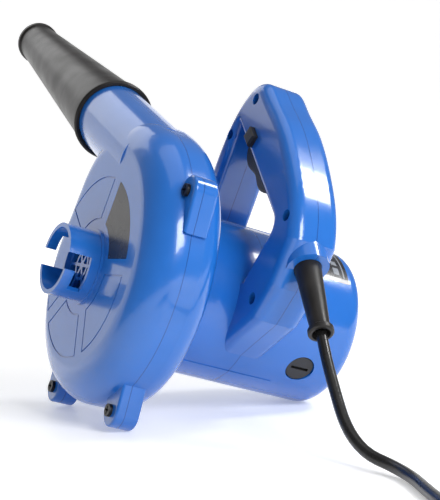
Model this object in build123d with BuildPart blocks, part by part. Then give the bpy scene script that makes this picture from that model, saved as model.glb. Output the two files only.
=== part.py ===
"""Hand-held electric air blower, lying as it rests on a floor.

Everything is drawn in the machine's own frame: X is the motor axis, from the intake (x = 0 is the
face of the intake disc) to the motor end, Y the side the nozzle blows to, and Z up through the
handle.  The machine rests on two housing lugs and the round motor end, so every finished piece is
then tipped by one stand location, which also puts the origin on the floor under the middle.
"""
from math import asin, atan2, cos, hypot, pi, radians, sin, tan
import os

from build123d import *

os.makedirs("parts", exist_ok=True)

# ---------------------------------------------------------------- driving dimensions (mm)
WALL = 2.6              # shell thickness
PANEL_WALL = 3.0        # intake disc thickness
FIT = 0.02              # running fit, radial
SLIP = 0.25             # gap round a button or a screw in its hole

# fan housing: a scroll of quarter arcs, each centre one step on from the last
SCROLL_STEP = 3.5
SCROLL_R = 72.0         # tightest arc, just past the tongue
SCROLL_W = 45.0         # axial width
SEAM_X = 22.0           # parting plane of the two fan housing halves
FRONT_ROUND = 19.5
BACK_ROUND = 14.0
BLOW_UP = 18.2          # the outlet rises this many degrees above level

# outlet pipe and nozzle
PIPE_R = 22.8
PIPE_BORE_R = 18.8
SPIGOT_R = 20.8
SPIGOT_LEN = 30.0
PIPE_OFFSET = 67.0      # outlet axis to motor axis
NOZZLE_AT = 99.0        # along the outlet, where the nozzle's wide end stands
NOZZLE_LEN = 205.0
NOZZLE_R = 24.4
NOZZLE_RING_R = 25.8
NOZZLE_TIP_R = 14.1
NOZZLE_LIP_R = 15.3
NOZZLE_WALL = 2.0
NOZZLE_FIT = 0.08
NOZZLE_TRAVEL = 40.0

# intake collar and disc
COLLAR_R = 21.0
COLLAR_LEN = 20.3
COLLAR_WALL = 2.6
COLLAR_RING_R = 22.6
INLET_R = 16.4
SLOT_W = 9.7
SLOT_LEG = 7.7          # width of the bayonet leg, along the axis
SLOT_FLOOR = 6.6        # collar left behind the slot
SECTOR_R = (28.0, 54.0)
SECTOR_COUNT = 5
SECTOR_AT = 40.0        # first sector, degrees from the rear towards the top
SPOKE_W = 9.0
GROOVE_W = 0.9
GROOVE_DEPTH = 0.6
PANEL_SEAT = 1.4

# lugs of the fan housing, as (y, z) of the screw
LUG_R = 9.0
LUG_X = (16.5, 31.0)
LUG_EDGE = 1.5
LUGS = [(-73.0, 52.0), (-46.0, -74.6), (46.0, -74.6), (71.0, 31.0)]

# motor housing
MOTOR_R = 47.7
MOTOR_END = 161.5
END_ROUND = 9.0
SPLIT_X = 91.0          # parting plane of the middle and rear housings

# handle
HANDLE_W = 31.0
HANDLE_ROUND = 7.0
HANDLE_SIDE_WALL = 3.4
GRIP_FROM = (-12.0, 92.0)      # a point of the grip's inner face, y and z
GRIP_SLOPE = 37.7              # the grip falls to the rear, degrees
HANDLE_SCREWS = [(-6.0, 123.0), (17.0, 101.0), (-79.0, 54.0), (-64.0, 5.0)]
SCREW_BOSS_R = 5.4

# rotating parts
SHAFT_R = 4.0
BEARING_R = 11.0
BEARING_W = 7.0
FRONT_BEARING_X = 47.5
REAR_BEARING_X = 148.5
CORE_X = (72.0, 108.0)
ARMATURE_R = 17.8
POLE_R = 18.3
STATOR_R = 34.0
STATOR_IN_R = 26.5
WINDOW = 24.0           # half width of the winding windows at a radius of 40
COMMUTATOR_R = 11.0
COMMUTATOR_X = (122.0, 140.0)
IMPELLER_R = 56.0
IMPELLER_X = (10.0, 38.0)
BLADES = 9

# brush gear
BRUSH_X = 131.5
BRUSH_BELOW = 35.0      # degrees below level, on the rear side
BRUSH_CAP_R = 8.6
BRUSH_HOLDER_R = 7.4
BRUSH_SIZE = (6.0, 8.0, 15.0)

# rating label, round the motor housing
LABEL_X = (126.0, 151.0)
LABEL_TURN = (5.0, 53.0)       # degrees from the top towards the rear

# trigger and lock button
TRIGGER_U = (-14.0, 38.0)
TRIGGER_W = 17.6
TRIGGER_TRAVEL = 5.0
LOCK_AT = (-2.0, 7.2)   # along the grip and in from its inner face
LOCK_SIZE = (10.0, 8.0)
LOCK_OUT = 3.4
LOCK_TRAVEL = 1.8

# screws and posts
HEAD_R = 3.2
HEAD_SEAT = 8.5         # how deep a handle screw's head sits
STATOR_POST_AT = 30.3
STATOR_POST_R = 3.5
STATOR_RIBS = (0, 90, 235, 305)
BRUSH_CAP_SEAT = 42.5   # from the motor axis

# mains lead
CORD_D = 6.2
GUARD_DOWN = 47.0       # degrees below level where the lead leaves
GUARD_LEN = 46.0
GUARD_R = 7.6
GUARD_END_R = 5.6
GUARD_RING_R = 7.2
BOSS_AT = (-90.0, 28.0)
BOSS_R = 12.2
COIL_R = 34.5           # middle of the turns
COIL_TURNS = 5.4        # six strands round an open middle
COIL_AT = (-88.0, -462.0)
TIE_T = 1.1
TIE_W = 9.0
PLUG_AT = (-136.3, -438.8)     # where the lead enters the plug
PLUG_SIZE = (36.0, 21.0, 13.0)
PLUG_TURN = 99.93              # degrees from the X axis
PIN_SPREAD = 9.3

# the lead's route on the floor it lies on, chosen by hand, each point where the middle of it turns
ROUTE = [(28.40, -164.43, 102.81), (10.51, -224.44, 40.99), (9.8, -265.0, 17.2), (8.0, -303.0, 3.1),
         (-9.0, -350.0, 3.1), (-21.0, -397.0, 3.1), (-44.5, -439.0, 3.4), (-51.2, -466.0, 5.4)]
TAIL_ROUTE = [(-119.6, -480.4, 5.6), (-132.5, -460.5, 6.5), (-136.3, -438.8, 6.5)]

# ---------------------------------------------------------------- derived places
HANDLE_X = (SPLIT_X - HANDLE_W / 2, SPLIT_X + HANDLE_W / 2)
CAVITY_X = (HANDLE_X[0] + HANDLE_SIDE_WALL, HANDLE_X[1] - HANDLE_SIDE_WALL)
MOTOR_BORE = MOTOR_R - WALL
SHAFT_X = (IMPELLER_X[0] - 4, REAR_BEARING_X + BEARING_W)

AXIS = Plane.YZ                                          # sketch x = Y, sketch y = Z
FACE = Plane(origin=(0, 0, 0), x_dir=(0, -1, 0), z_dir=(-1, 0, 0))   # seen from the intake
blow_dir = Vector(0, cos(radians(BLOW_UP)), sin(radians(BLOW_UP)))
blow_up = Vector(0, -sin(radians(BLOW_UP)), cos(radians(BLOW_UP)))
BLOW = Plane(origin=(0, 0, 0), x_dir=blow_dir, z_dir=(1, 0, 0))       # turned to the outlet
pipe_mid = Vector(SEAM_X, 0, 0) + blow_up * PIPE_OFFSET


def pipe_plane(along: float) -> Plane:
    """A plane square to the outlet, `along` mm down it."""
    return Plane(origin=pipe_mid + blow_dir * along, x_dir=(1, 0, 0), z_dir=blow_dir)


grip_u = Vector(0, -cos(radians(GRIP_SLOPE)), -sin(radians(GRIP_SLOPE)))
grip_in = Vector(0, -sin(radians(GRIP_SLOPE)), cos(radians(GRIP_SLOPE)))


def grip_plane(x: float) -> Plane:
    """Sketch x runs down the grip, sketch y into it from its inner face."""
    return Plane(origin=(x, *GRIP_FROM), x_dir=grip_u, z_dir=(-1, 0, 0))


exit_dir = Vector(0, -cos(radians(GUARD_DOWN)), -sin(radians(GUARD_DOWN)))
exit_at = Vector(SPLIT_X, *BOSS_AT)


def exit_plane(along: float) -> Plane:
    """A plane square to the lead, `along` mm out from the boss."""
    return Plane(origin=exit_at + exit_dir * along, x_dir=(1, 0, 0), z_dir=exit_dir)


def brush_plane(side: int, out: float) -> Plane:
    """A plane square to a brush, `out` mm from the motor axis."""
    way = Vector(0, -cos(radians(BRUSH_BELOW)), -sin(radians(BRUSH_BELOW))) * side
    return Plane(origin=Vector(BRUSH_X, 0, 0) + way * out, x_dir=(1, 0, 0), z_dir=way)


# the stand: the lugs' lower edge and the motor end's round both touch the floor
lug_c = (LUG_X[1] - LUG_EDGE, min(z for _, z in LUGS) - LUG_R + LUG_EDGE)
end_c = (MOTOR_END - END_ROUND, -MOTOR_R + END_ROUND)
span = hypot(end_c[0] - lug_c[0], lug_c[1] - end_c[1])
lean = atan2(lug_c[1] - end_c[1], end_c[0] - lug_c[0])
TILT = asin((LUG_EDGE - END_ROUND) / span) - lean
FLOOR = -lug_c[0] * sin(TILT) + lug_c[1] * cos(TILT) - LUG_EDGE
print(f"tilt {TILT * 180 / pi:.2f} degrees, floor {FLOOR:.2f} under the motor axis at the disc")

# ---------------------------------------------------------------- shared outlines


def scroll_lines(inset: float) -> None:
    """Draw the closed scroll outline, inset by a wall, in the outlet's frame."""
    s = SCROLL_STEP
    r1, r2, r3 = (SCROLL_R + k * 2 * s - inset for k in range(3))
    top = s + r3
    side = -s + r1
    r4 = side - s - 8.0
    CenterArc((-s, -s), r1, 270, 90)
    CenterArc((-s, s), r2, 180, 90)
    CenterArc((s, s), r3, 90, 90)
    CenterArc((side - r4, top - r4), r4, 0, 90)
    Line((s, top), (side - r4, top))
    Line((side, top - r4), (side, -s))


HANDLE_OUTER = [(38, 26), (33, 70), (25, 103), (9, 127.5), (-5, 134.5), (-22, 125), (-41, 111.5),
                (-68, 85), (-86, 60), (-92.5, 42)]
HANDLE_TAIL = [(-84, 14), (-71, -6), (-34, -31)]
OPENING = [(9.5, 108.6), (-67, 49.4), (-45, 12), (0, 8), (30, 14)]


def turn_left(way: Vector) -> Vector:
    """The unit vector square to a direction, on its left."""
    return Vector(-way.Y, way.X).normalized()


def handle_outline(inset: float) -> None:
    """Draw the closed outline of handle and web, in by a wall, ending inside the motor housing."""
    with BuildLine(mode=Mode.PRIVATE):
        edge = Spline(*[Vector(*p) for p in HANDLE_OUTER])
    steps = [k / 28 for k in range(29)]
    rear = Spline(*[edge @ t + turn_left(edge % t) * inset for t in steps])
    corners = [edge @ 1] + [Vector(*p) for p in HANDLE_TAIL]
    tail = [b + (turn_left(b - a) + turn_left(c - b)).normalized() * inset
            for a, b, c in zip(corners, corners[1:], corners[2:])]
    Polyline(rear @ 1, *tail, corners[-1] + Vector(0, inset), (0, 0), rear @ 0)


def sector(inset: float, k: int) -> Sketch:
    """One sector of the intake disc between two spokes, drawn as seen from the intake."""
    with BuildSketch(mode=Mode.PRIVATE) as one:
        Circle(SECTOR_R[1] - inset)
        Circle(SECTOR_R[0] + inset, mode=Mode.SUBTRACT)
        middle = SECTOR_AT + 360 / SECTOR_COUNT * k
        with BuildSketch(mode=Mode.INTERSECT):
            with BuildLine():
                half = 180 / SECTOR_COUNT
                edge = SPOKE_W / 2 + inset
                tip = Vector(edge / sin(radians(half)), 0).rotate(Axis.Z, middle)
                far = [Vector(160, 0).rotate(Axis.Z, middle + a) + tip for a in (-half, 0, half)]
                Polyline(tip, *far, close=True)
            make_face()
    return one.sketch


# ---------------------------------------------------------------- the whole shell, before parting
with BuildPart() as fan_outer:
    with BuildSketch(BLOW) as s:
        with BuildLine():
            scroll_lines(0)
        make_face()
    extrude(amount=SCROLL_W)
    fillet(fan_outer.faces().sort_by(Axis.X)[0].edges(), FRONT_ROUND)
    fillet(fan_outer.faces().sort_by(Axis.X)[-1].edges(), BACK_ROUND)
    with BuildSketch(pipe_plane(10)):
        Circle(PIPE_R)
    extrude(amount=NOZZLE_AT + 3 - 10)
    with BuildSketch(pipe_plane(NOZZLE_AT)):
        Circle(SPIGOT_R)
    extrude(amount=SPIGOT_LEN)
    with BuildSketch(FACE):
        Circle(COLLAR_R)
    extrude(amount=COLLAR_LEN)
    with BuildSketch(FACE):
        Circle(COLLAR_RING_R)
    extrude(amount=1.4)

with BuildPart() as fan_cavity:
    with BuildSketch(BLOW.offset(PANEL_WALL)):
        with BuildLine():
            scroll_lines(WALL)
        make_face()
    extrude(amount=SCROLL_W - WALL - PANEL_WALL)
    fillet(fan_cavity.faces().sort_by(Axis.X)[0].edges(), FRONT_ROUND - WALL)
    fillet(fan_cavity.faces().sort_by(Axis.X)[-1].edges(), BACK_ROUND - WALL)
    with BuildSketch(pipe_plane(20)):
        Circle(PIPE_BORE_R)
    extrude(amount=NOZZLE_AT + SPIGOT_LEN)
    with BuildSketch(Plane.YZ.offset(-COLLAR_LEN)):
        Circle(COLLAR_R - COLLAR_WALL)
    extrude(amount=COLLAR_LEN - 1)
    with BuildSketch(Plane.YZ.offset(-2)):
        Circle(INLET_R)
    extrude(amount=PANEL_WALL + 4)

with BuildPart() as lug_blocks:
    for y, z in LUGS:
        inward = -1 if z > 0 else 1
        with BuildSketch(Plane.YZ.offset(LUG_X[0])):
            with Locations((y, z)):
                Circle(LUG_R)
            reach = 23 if z > 40 else 24
            with Locations((y, z + inward * reach / 2)):
                Rectangle(2 * LUG_R, reach)
        extrude(amount=LUG_X[1] - LUG_X[0])
    ends = lug_blocks.faces().filter_by(Axis.X)
    fillet(ends.edges(), LUG_EDGE)

with BuildPart() as motor_outer:
    with BuildSketch(Plane.YZ.offset(SCROLL_W - WALL + 0.5)):
        Circle(MOTOR_R)
    extrude(amount=MOTOR_END - SCROLL_W + WALL - 0.5)
    fillet(motor_outer.edges().sort_by(Axis.X)[-1], END_ROUND)

with BuildPart() as handle_outer:
    with BuildSketch(Plane.YZ.offset(HANDLE_X[0])):
        with BuildLine():
            handle_outline(0)
        make_face()
    extrude(amount=HANDLE_W)
    rims = handle_outer.faces().filter_by(Axis.X).edges()
    fillet(rims.filter_by(lambda e: hypot(e.center().Y, e.center().Z) > MOTOR_R), HANDLE_ROUND)
    with BuildSketch(Plane.YZ.offset(HANDLE_X[0])) as hole:
        with BuildLine():
            Polyline(*OPENING, close=True)
        make_face()
        fillet(hole.vertices().sort_by(Axis.Z)[-1], 8)
        fillet(hole.vertices().sort_by(Axis.Y)[0], 8)
    extrude(amount=HANDLE_W, mode=Mode.SUBTRACT)
    rims = handle_outer.faces().filter_by(Axis.X).edges()
    hand_side = [Vector(-28, 79.8), Vector(19, 62), Vector(4, 99), Vector(-56, 31), Vector(-64, 45)]
    fillet([e for e in rims
            if min((Vector(e.center().Y, e.center().Z) - q).length for q in hand_side) < 9], 4)

with BuildPart() as handle_cavity:
    with BuildSketch(Plane.YZ.offset(CAVITY_X[0])):
        with BuildLine():
            handle_outline(WALL)
        make_face()
    extrude(amount=CAVITY_X[1] - CAVITY_X[0])
    with BuildSketch(Plane.YZ.offset(CAVITY_X[0])):
        with BuildLine():
            Polyline(*OPENING, close=True)
        make_face()
        offset(amount=WALL, kind=Kind.INTERSECTION)
    extrude(amount=HANDLE_W, mode=Mode.SUBTRACT)

with BuildPart() as motor_cavity:
    with BuildSketch(Plane.YZ.offset(SCROLL_W)):
        Circle(MOTOR_BORE)
    extrude(amount=MOTOR_END - WALL - SCROLL_W)
    fillet(motor_cavity.edges().sort_by(Axis.X)[-1], END_ROUND - WALL)

with BuildPart() as body:
    add(fan_outer.part)
    add(lug_blocks.part)
    add(motor_outer.part)
    add(handle_outer.part)
    with BuildSketch(exit_plane(-14)):
        Circle(BOSS_R)
    extrude(amount=14)
    # hollows, one after another
    add(fan_cavity.part, mode=Mode.SUBTRACT)
    add(motor_cavity.part, mode=Mode.SUBTRACT)
    add(handle_cavity.part, mode=Mode.SUBTRACT)
    with BuildSketch(exit_plane(-16)):
        Circle(BOSS_R - WALL - 0.6)
    extrude(amount=16 - 3.0, mode=Mode.SUBTRACT)
    with BuildSketch(exit_plane(-16)):
        Circle(GUARD_R + 0.3)
    extrude(amount=26, mode=Mode.SUBTRACT)

    # screw bosses across the handle
    for y, z in HANDLE_SCREWS:
        with BuildSketch(Plane.YZ.offset(HANDLE_X[0] + 1.5)):
            with Locations((y, z)):
                Circle(SCREW_BOSS_R)
        extrude(amount=HANDLE_W - 3)
    # bearing seats
    with BuildSketch(Plane.YZ.offset(SCROLL_W - WALL + 0.5)):
        Circle(BEARING_R + 4)
    extrude(amount=FRONT_BEARING_X + BEARING_W - SCROLL_W + WALL - 0.5)
    with BuildSketch(Plane.YZ.offset(REAR_BEARING_X - 1)):
        Circle(BEARING_R + 5)
    extrude(amount=MOTOR_END - REAR_BEARING_X)
    with BuildSketch(Plane.YZ.offset(FRONT_BEARING_X)):
        Circle(BEARING_R)
    extrude(amount=BEARING_W + 1, mode=Mode.SUBTRACT)
    with BuildSketch(Plane.YZ.offset(REAR_BEARING_X - 2)):
        Circle(BEARING_R + 1.5)
    extrude(amount=BEARING_W + 2, mode=Mode.SUBTRACT)
    with BuildSketch(Plane.YZ.offset(SCROLL_W - WALL - 1)):
        Circle(SHAFT_R + 0.6)
    extrude(amount=8, mode=Mode.SUBTRACT)
    # posts and ribs that carry the stator
    with BuildSketch(Plane.YZ.offset(SCROLL_W - WALL + 0.5)):
        with PolarLocations(STATOR_POST_AT, 2, 90):
            Circle(STATOR_POST_R)
    extrude(amount=CORE_X[0] - SCROLL_W + WALL - 0.5)
    for turn in STATOR_RIBS:
        with BuildSketch(Plane.YZ.offset(CORE_X[0] - 12)):
            with PolarLocations(MOTOR_BORE - 4, 1, turn):
                Rectangle(14, 3)
        extrude(amount=CORE_X[1] - CORE_X[0] + 24)
    with BuildSketch(Plane.YZ.offset(CORE_X[0])):
        Circle(STATOR_R)
    extrude(amount=60, mode=Mode.SUBTRACT)
    with BuildSketch(Plane.YZ.offset(SCROLL_W + 2)):
        with PolarLocations(STATOR_POST_AT, 2, 90):
            Circle(2.05)
    extrude(amount=CORE_X[0] - SCROLL_W, mode=Mode.SUBTRACT)
    # brush seats: a boss inside the wall, a bore and a round pocket for the cap
    for side in (1, -1):
        with BuildSketch(brush_plane(side, STATOR_R - 2)):
            Circle(BRUSH_CAP_R + 2.4)
        extrude(amount=MOTOR_R - STATOR_R - 1.5)
        with BuildSketch(brush_plane(side, STATOR_R - 4)):
            Circle(BRUSH_HOLDER_R)
        extrude(amount=30, mode=Mode.SUBTRACT)
        with BuildSketch(brush_plane(side, BRUSH_CAP_SEAT)):
            Circle(BRUSH_CAP_R + SLIP)
        extrude(amount=20, mode=Mode.SUBTRACT)
    # cooling slots in the motor end
    with BuildSketch(Plane.YZ.offset(MOTOR_END - WALL - 1)):
        with PolarLocations(28, 12):
            SlotOverall(16, 3.2)
    extrude(amount=WALL + 2, mode=Mode.SUBTRACT)
    # bayonet slots of the collar
    for turn in (0, 180):
        with BuildSketch(FACE.offset(SLOT_FLOOR)):
            with PolarLocations(COLLAR_R, 1, turn):
                Rectangle(12, SLOT_W)
        extrude(amount=COLLAR_LEN, mode=Mode.SUBTRACT)
        with BuildSketch(FACE.offset(SLOT_FLOOR)):
            with BuildLine():
                CenterArc((0, 0), COLLAR_R - COLLAR_WALL - 2, turn - 48, 48)
                CenterArc((0, 0), COLLAR_R + 3, turn - 48, 48)
                for a in (turn - 48, turn):
                    Line(Vector(COLLAR_R - COLLAR_WALL - 2, 0).rotate(Axis.Z, a),
                         Vector(COLLAR_R + 3, 0).rotate(Axis.Z, a))
            make_face()
        extrude(amount=SLOT_LEG, mode=Mode.SUBTRACT)
    # sectors of the intake disc, outlined by a groove
    for k in range(SECTOR_COUNT):
        with BuildSketch(FACE) as outline:
            add(sector(0, k))
            if k:
                add(sector(GROOVE_W, k), mode=Mode.SUBTRACT)
        extrude(amount=-(GROOVE_DEPTH if k else PANEL_SEAT), mode=Mode.SUBTRACT)
    with BuildSketch(FACE):
        add(sector(2.5, 0))
    extrude(amount=-PANEL_WALL - 1, mode=Mode.SUBTRACT)
    # screw holes
    for y, z in LUGS:
        with BuildSketch(Plane.YZ.offset(LUG_X[0] - 1)):
            with Locations((y, z)):
                Circle(1.9)
        extrude(amount=SEAM_X - LUG_X[0] + 1, mode=Mode.SUBTRACT)
        with BuildSketch(Plane.YZ.offset(LUG_X[0])):
            with Locations((y, z)):
                Circle(HEAD_R + 0.4 + SLIP)
        extrude(amount=-8, mode=Mode.SUBTRACT)
        with BuildSketch(Plane.YZ.offset(SEAM_X)):
            with Locations((y, z)):
                Circle(1.55)
        extrude(amount=7, mode=Mode.SUBTRACT)
    for y, z in HANDLE_SCREWS:
        with BuildSketch(Plane.YZ.offset(HANDLE_X[0] - 3)):
            with Locations((y, z)):
                Circle(HEAD_R + 0.3)
        extrude(amount=3 + HEAD_SEAT, mode=Mode.SUBTRACT)
        with BuildSketch(Plane.YZ.offset(HANDLE_X[0])):
            with Locations((y, z)):
                Circle(1.8)
        extrude(amount=SPLIT_X - HANDLE_X[0], mode=Mode.SUBTRACT)
        with BuildSketch(Plane.YZ.offset(SPLIT_X)):
            with Locations((y, z)):
                Circle(1.55)
        extrude(amount=12, mode=Mode.SUBTRACT)
    # slots for the trigger and the lock button
    with BuildSketch(grip_plane(SPLIT_X + TRIGGER_W / 2 + SLIP)):
        with Locations(((TRIGGER_U[0] + TRIGGER_U[1]) / 2, 0)):
            Rectangle(TRIGGER_U[1] - TRIGGER_U[0] + 2 * SLIP, 2 * WALL + 2)
    extrude(amount=TRIGGER_W + 2 * SLIP, mode=Mode.SUBTRACT)
    with BuildSketch(grip_plane(CAVITY_X[0] + 0.5)):
        with Locations(LOCK_AT):
            Rectangle(LOCK_SIZE[0] + 2 * SLIP, LOCK_SIZE[1] + 2 * SLIP)
    extrude(amount=2 * WALL, mode=Mode.SUBTRACT)

print("body", body.part.volume, len(body.part.solids()), body.part.is_valid)


def shell_between(x0: float, x1: float) -> Part:
    """The stretch of the shell from one parting plane to the next."""
    with BuildPart(mode=Mode.PRIVATE) as stretch:
        with BuildSketch(Plane.YZ.offset(x0)):
            Rectangle(900, 900)
        extrude(amount=x1 - x0)
        add(body.part, mode=Mode.INTERSECT)
    return stretch.part


with BuildPart() as front_cover:
    add(shell_between(-60, SEAM_X))

with BuildPart() as middle_housing:
    add(shell_between(SEAM_X, SPLIT_X))

with BuildPart() as rear_housing:
    add(shell_between(SPLIT_X, 220))

print("shells", [(len(b.part.solids()), round(b.part.volume)) for b in (front_cover, middle_housing,
                                                                         rear_housing)])

# ---------------------------------------------------------------- intake side
with BuildPart() as sector_panel:
    with BuildSketch(FACE):
        add(sector(0.15, 0))
    extrude(amount=-PANEL_SEAT)

with BuildPart() as intake_grille:
    grille_r = COLLAR_R - COLLAR_WALL - 0.05
    with BuildSketch(FACE.offset(1.0)):
        Circle(grille_r)
        Circle(grille_r - 2.2, mode=Mode.SUBTRACT)
        Circle(9.0)
        Circle(7.2, mode=Mode.SUBTRACT)
        with PolarLocations((grille_r - 1) / 2, 6):
            Rectangle(grille_r - 1, 1.8)
        Circle(2.6)
    extrude(amount=2.4)

# ---------------------------------------------------------------- nozzle
with BuildPart() as nozzle:
    start, end = NOZZLE_AT, NOZZLE_AT + NOZZLE_LEN
    bore_end = NOZZLE_AT + SPIGOT_LEN + 1.0
    with BuildSketch(Plane(origin=pipe_mid, x_dir=blow_dir, z_dir=(1, 0, 0))):
        with BuildLine():
            Polyline((start, PIPE_R + 0.3), (start, NOZZLE_RING_R - 1), (start + 1, NOZZLE_RING_R),
                     (start + 3, NOZZLE_RING_R), (start + 5, NOZZLE_R), (end - 6, NOZZLE_TIP_R),
                     (end - 4, NOZZLE_LIP_R), (end - 1, NOZZLE_LIP_R), (end, NOZZLE_LIP_R - 1),
                     (end, NOZZLE_TIP_R - NOZZLE_WALL), (bore_end, SPIGOT_R - 1.8),
                     (bore_end, SPIGOT_R + NOZZLE_FIT), (start + 3.2, SPIGOT_R + NOZZLE_FIT),
                     (start + 3.2, PIPE_R + 0.3), close=True)
        make_face()
    revolve(axis=Axis(pipe_mid, blow_dir))

# ---------------------------------------------------------------- rotor
with BuildPart() as shaft:
    with BuildSketch(Plane.YZ.offset(SHAFT_X[0])):
        Circle(SHAFT_R)
    extrude(amount=SHAFT_X[1] - SHAFT_X[0])
    chamfer(shaft.faces().filter_by(Axis.X).edges(), 0.6)

with BuildPart() as impeller:
    hub_x = IMPELLER_X[0] + 4
    back = IMPELLER_X[1] - 2
    with BuildSketch(Plane.XY):
        with BuildLine():
            Polyline((hub_x, 0), (hub_x, 8.5))
            Spline((hub_x, 8.5), (hub_x + 12, 11), (back, 22))
            Polyline((back, 22), (back, IMPELLER_R), (back + 2, IMPELLER_R), (back + 2, 0),
                     (hub_x, 0))
        make_face()
    revolve(axis=Axis.X)
    with BuildSketch(Plane.YZ.offset(IMPELLER_X[0] + 1)):
        with PolarLocations(0, BLADES):
            with BuildLine():
                pts = [(19, 0), (36, -7), (IMPELLER_R - 1, -22)]
                near = [Vector(*q) for q in pts]
                far = [v.rotate(Axis.Z, 3.0) for v in near]
                ThreePointArc(*near)
                ThreePointArc(*far)
                Line(near[0], far[0])
                Line(near[-1], far[-1])
            make_face()
    extrude(amount=back - IMPELLER_X[0])
    with BuildSketch(Plane.YZ):
        Circle(SHAFT_R)
    extrude(amount=60, mode=Mode.SUBTRACT)

with BuildPart() as impeller_nut:
    with BuildSketch(Plane.YZ.offset(IMPELLER_X[0] - 1)):
        RegularPolygon(6.5, 6, major_radius=False)
        Circle(SHAFT_R, mode=Mode.SUBTRACT)
    extrude(amount=5)

with BuildPart() as armature_core:
    with BuildSketch(Plane.YZ.offset(CORE_X[0])):
        Circle(ARMATURE_R)
        with PolarLocations(16, 12):
            Rectangle(4.8, 2.2, mode=Mode.SUBTRACT)
        Circle(SHAFT_R, mode=Mode.SUBTRACT)
    extrude(amount=CORE_X[1] - CORE_X[0])

with BuildPart() as armature_windings:
    for x in (CORE_X[0] - 9, CORE_X[1]):
        with BuildSketch(Plane.YZ.offset(x)):
            Circle(ARMATURE_R - 0.8)
        extrude(amount=9)
    fillet(armature_windings.edges().filter_by(GeomType.CIRCLE).sort_by(Axis.X)[0], 4)
    fillet(armature_windings.edges().filter_by(GeomType.CIRCLE).sort_by(Axis.X)[-1], 4)
    with BuildSketch(Plane.YZ.offset(CORE_X[0])):
        with PolarLocations(15.4, 12):
            Rectangle(3.0, 1.9)
    extrude(amount=CORE_X[1] - CORE_X[0])
    with BuildSketch(Plane.YZ.offset(CORE_X[0] - 10)):
        Circle(SHAFT_R)
    extrude(amount=60, mode=Mode.SUBTRACT)

with BuildPart() as commutator:
    with BuildSketch(Plane.YZ.offset(COMMUTATOR_X[0])):
        Circle(COMMUTATOR_R)
    extrude(amount=COMMUTATOR_X[1] - COMMUTATOR_X[0])
    with BuildSketch(Plane.YZ.offset(COMMUTATOR_X[0])):
        Circle(COMMUTATOR_R + 1.4)
    extrude(amount=-2.5)
    with BuildSketch(Plane.YZ.offset(COMMUTATOR_X[0] - 4)):
        Circle(SHAFT_R)
    extrude(amount=40, mode=Mode.SUBTRACT)

# ---------------------------------------------------------------- stator, bearings, brush gear
with BuildPart() as stator_core:
    with BuildSketch(Plane.YZ.offset(CORE_X[0])) as section:
        Circle(STATOR_IN_R)
        for side in (1, -1):
            with BuildLine():
                Polyline((0, 0), (WINDOW, 40 * side), (-WINDOW, 40 * side), close=True)
            make_face(mode=Mode.SUBTRACT)
        with BuildSketch(mode=Mode.ADD):
            Circle(STATOR_R)
            Circle(STATOR_IN_R - 0.01, mode=Mode.SUBTRACT)
        Circle(POLE_R, mode=Mode.SUBTRACT)
        with PolarLocations(STATOR_POST_AT, 2, 90):
            Circle(2.15, mode=Mode.SUBTRACT)
    extrude(amount=CORE_X[1] - CORE_X[0])

with BuildPart() as field_coils:
    for x in (CORE_X[0] - 7, CORE_X[1]):
        with BuildSketch(Plane.YZ.offset(x)):
            Circle(STATOR_IN_R - 0.3)
            Circle(POLE_R + 1.2, mode=Mode.SUBTRACT)
        extrude(amount=7)
    with BuildSketch(Plane.YZ.offset(CORE_X[0])):
        for side in (1, -1):
            with BuildLine():
                Polyline((0, 0), (WINDOW * 0.86, 40 * side), (-WINDOW * 0.86, 40 * side), close=True)
            make_face()
        with BuildSketch(mode=Mode.INTERSECT):
            Circle(STATOR_IN_R - 0.3)
            Circle(POLE_R + 1.2, mode=Mode.SUBTRACT)
    extrude(amount=CORE_X[1] - CORE_X[0])

with BuildPart() as stator_screws:
    with BuildSketch(Plane.YZ.offset(CORE_X[1])):
        with PolarLocations(STATOR_POST_AT, 2, 90):
            Circle(HEAD_R)
    extrude(amount=2.4)
    with BuildSketch(Plane.YZ.offset(CORE_X[1])):
        with PolarLocations(STATOR_POST_AT, 2, 90):
            Circle(2.0)
    extrude(amount=-(CORE_X[1] - SCROLL_W - 4))
    with BuildSketch(Plane.YZ.offset(CORE_X[1] + 1.2)):
        with PolarLocations(STATOR_POST_AT, 2, 90):
            Rectangle(4.4, 1.0)
            Rectangle(1.0, 4.4)
    extrude(amount=2, mode=Mode.SUBTRACT)


def ball_bearing(x: float) -> Part:
    """A deep-groove bearing with its rings and shield as one solid, its near face at x."""
    with BuildPart(mode=Mode.PRIVATE) as ring:
        with BuildSketch(Plane.YZ.offset(x)):
            Circle(BEARING_R - 0.02)
            Circle(SHAFT_R + FIT, mode=Mode.SUBTRACT)
        extrude(amount=BEARING_W)
        for face_x in (x, x + BEARING_W):
            with BuildSketch(Plane.YZ.offset(face_x - 0.4)):
                Circle(BEARING_R - 2)
                Circle(SHAFT_R + 1.8, mode=Mode.SUBTRACT)
            extrude(amount=0.8, mode=Mode.SUBTRACT)
    return ring.part


with BuildPart() as front_bearing:
    add(ball_bearing(FRONT_BEARING_X))

with BuildPart() as rear_bearing:
    add(ball_bearing(REAR_BEARING_X))

with BuildPart() as bearing_cushion:
    with BuildSketch(Plane.YZ.offset(REAR_BEARING_X)):
        Circle(BEARING_R + 1.48)
        Circle(BEARING_R, mode=Mode.SUBTRACT)
    extrude(amount=BEARING_W)

with BuildPart() as brush_holders:
    for side in (1, -1):
        with BuildSketch(brush_plane(side, COMMUTATOR_R + 3)):
            Circle(BRUSH_HOLDER_R - 0.02)
            Rectangle(BRUSH_SIZE[0] + 0.2, BRUSH_SIZE[1] + 0.2, mode=Mode.SUBTRACT)
        extrude(amount=BRUSH_CAP_SEAT - COMMUTATOR_R - 3)

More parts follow.
